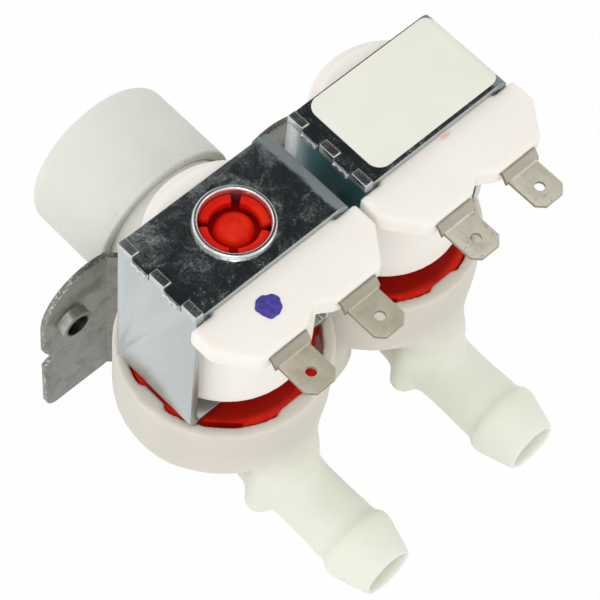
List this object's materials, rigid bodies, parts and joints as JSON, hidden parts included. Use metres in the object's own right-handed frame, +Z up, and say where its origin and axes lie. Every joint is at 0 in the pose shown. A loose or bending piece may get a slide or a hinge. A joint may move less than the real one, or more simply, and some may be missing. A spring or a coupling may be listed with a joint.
{
  "type": "solenoid inlet valve",
  "caption": "Twin solenoid water inlet valve with barbed hose tails, spade terminals, snap-in steel bracket and a capped threaded inlet.",
  "frame": {"origin": "on the inlet's axis, midway between the two bracket screw holes, in the bracket's mounting face", "axes": "+X from the left valve to the right valve, +Y along the inlet away from the hose tails, +Z up through the coils"},
  "size_m": [0.072, 0.0947, 0.084],
  "materials": {
    "body_nylon": "translucent natural nylon",
    "cap_plastic": "translucent polyethylene",
    "strainer_plastic": "satin",
    "regulator_rubber": "matt",
    "bracket_steel": "dull stainless",
    "label_film": "blank printed film",
    "ink": "dried marker ink",
    "bonnet_plastic": "glossy moulded red",
    "plunger_steel": "turned",
    "seal_rubber": "matt",
    "spring_steel": "drawn wire",
    "diaphragm_rubber": "matt",
    "insert_plastic": "satin",
    "coil_plastic": "warm white satin",
    "bobbin_plastic": "satin",
    "winding_copper": "enamelled copper wire",
    "yoke_zinc": "bright zinc plate",
    "sleeve_steel": "drawn",
    "terminal_tin": "tinned"
  },
  "bodies": {
    "housing": {"valve_body": "body_nylon", "inlet_strainer": "strainer_plastic", "flow_regulator": "regulator_rubber", "mounting_bracket": "bracket_steel", "rating_label": "label_film", "ink_mark": "ink", "left_bonnet": "bonnet_plastic", "left_plunger_spring": "spring_steel", "left_diaphragm": "diaphragm_rubber", "left_coil_moulding": "coil_plastic", "left_bobbin": "bobbin_plastic", "left_winding": "winding_copper", "left_yoke_frame": "yoke_zinc", "left_upper_pole_sleeve": "sleeve_steel", "left_lower_pole_sleeve": "sleeve_steel", "left_terminal_a": "terminal_tin", "left_terminal_b": "terminal_tin", "right_bonnet": "bonnet_plastic", "right_plunger_spring": "spring_steel", "right_diaphragm": "diaphragm_rubber", "right_coil_moulding": "coil_plastic", "right_bobbin": "bobbin_plastic", "right_winding": "winding_copper", "right_yoke_frame": "yoke_zinc", "right_upper_pole_sleeve": "sleeve_steel", "right_lower_pole_sleeve": "sleeve_steel", "right_terminal_a": "terminal_tin", "right_terminal_b": "terminal_tin"},
    "left_plunger_body": {"left_plunger": "plunger_steel", "left_plunger_seal": "seal_rubber"},
    "left_insert_body": {"left_diaphragm_insert": "insert_plastic"},
    "right_plunger_body": {"right_plunger": "plunger_steel", "right_plunger_seal": "seal_rubber"},
    "right_insert_body": {"right_diaphragm_insert": "insert_plastic"},
    "cap_body": {"inlet_cap": "cap_plastic"}
  },
  "joints": [
    {"name": "left_plunger_slide", "type": "slide", "parent": "housing", "child": "left_plunger_body", "axis": [0, 0, 1], "range_m": [0, 0.0028], "stiffness_N_per_m": 120, "springref_m": -0.004, "deforming": ["left_plunger_spring"]},
    {"name": "left_insert_slide", "type": "slide", "parent": "housing", "child": "left_insert_body", "axis": [0, 0, 1], "range_m": [0, 0.00168], "deforming": ["left_diaphragm"]},
    {"name": "right_plunger_slide", "type": "slide", "parent": "housing", "child": "right_plunger_body", "axis": [0, 0, 1], "range_m": [0, 0.0028], "stiffness_N_per_m": 120, "springref_m": -0.004, "deforming": ["right_plunger_spring"]},
    {"name": "right_insert_slide", "type": "slide", "parent": "housing", "child": "right_insert_body", "axis": [0, 0, 1], "range_m": [0, 0.00168], "deforming": ["right_diaphragm"]},
    {"name": "cap_pull", "type": "slide", "parent": "housing", "child": "cap_body", "axis": [0, 1, 0], "range_m": [0, 0.026]}
  ],
  "couplings": [
    {"joint": "left_insert_slide", "follows": "left_plunger_slide", "ratio": 0.6},
    {"joint": "right_insert_slide", "follows": "right_plunger_slide", "ratio": 0.6}
  ]
}
